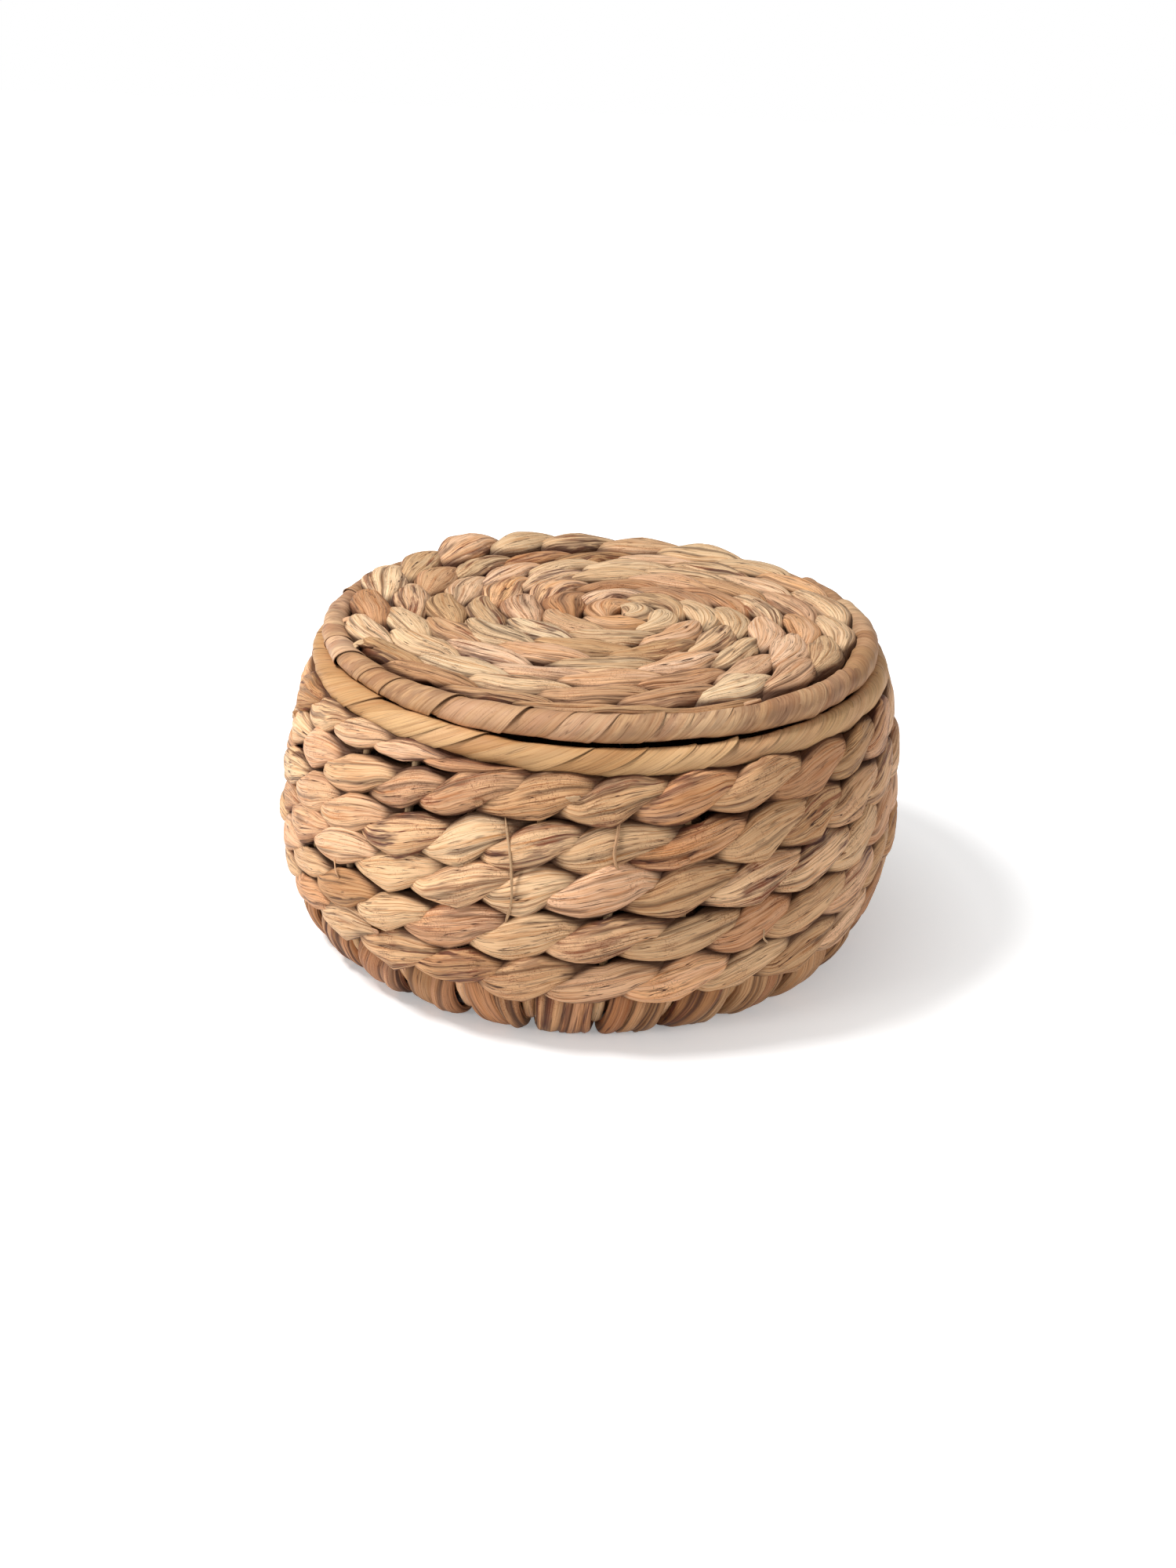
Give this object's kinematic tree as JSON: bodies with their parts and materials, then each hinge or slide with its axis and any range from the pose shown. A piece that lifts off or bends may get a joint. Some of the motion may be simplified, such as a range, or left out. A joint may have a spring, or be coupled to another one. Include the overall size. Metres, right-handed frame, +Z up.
{
  "type": "lidded storage basket",
  "caption": "Squat round storage basket of twined leaf strands on a wrapped wire frame, with a lid of coiled two-strand leaf rope that lifts off.",
  "frame": {"origin": "centre of the footprint, on the surface that the basket stands on", "axes": "+Z is up, the way the lid lifts. The basket is round, so +X and +Y are any two level directions; the picture's front is -Y"},
  "size_m": [0.2594, 0.2594, 0.1332],
  "materials": {
    "steel_wire": "drawn wire",
    "rib_leaf": "pale dried leaf strip, matt",
    "foot_leaf": "dried leaf bundles, ridged",
    "base_leaf": "dried leaf strands, ridged",
    "wall_leaf": "dried leaf strands, ridged",
    "rim_leaf": "smooth dried leaf strip",
    "lid_edge_leaf": "smooth dried leaf strip",
    "lid_leaf": "dried leaf strands, ridged"
  },
  "bodies": {
    "basket": {"base_ring_wire": "steel_wire", "rim_ring_wire": "steel_wire", "rib_wires": "steel_wire", "rib_wraps": "rib_leaf", "foot_bundles": "foot_leaf", "base_rope_strand_a": "base_leaf", "base_rope_strand_b": "base_leaf", "weaver_a_turn_1": "wall_leaf", "weaver_a_turn_2": "wall_leaf", "weaver_a_turn_3": "wall_leaf", "weaver_a_turn_4": "wall_leaf", "weaver_a_turn_5": "wall_leaf", "weaver_a_turn_6": "wall_leaf", "weaver_b_turn_1": "wall_leaf", "weaver_b_turn_2": "wall_leaf", "weaver_b_turn_3": "wall_leaf", "weaver_b_turn_4": "wall_leaf", "weaver_b_turn_5": "wall_leaf", "weaver_b_turn_6": "wall_leaf", "rim_padding": "rim_leaf", "rim_wrap": "rim_leaf"},
    "lid": {"lid_ring_wire": "steel_wire", "lid_padding": "lid_edge_leaf", "lid_wrap": "lid_edge_leaf", "lid_rope_strand_a": "lid_leaf", "lid_rope_strand_b": "lid_leaf"}
  },
  "joints": [
    {"name": "lid_lift", "type": "slide", "parent": "basket", "child": "lid", "axis": [0, 0, 1], "range_m": [0, 0.12]}
  ]
}
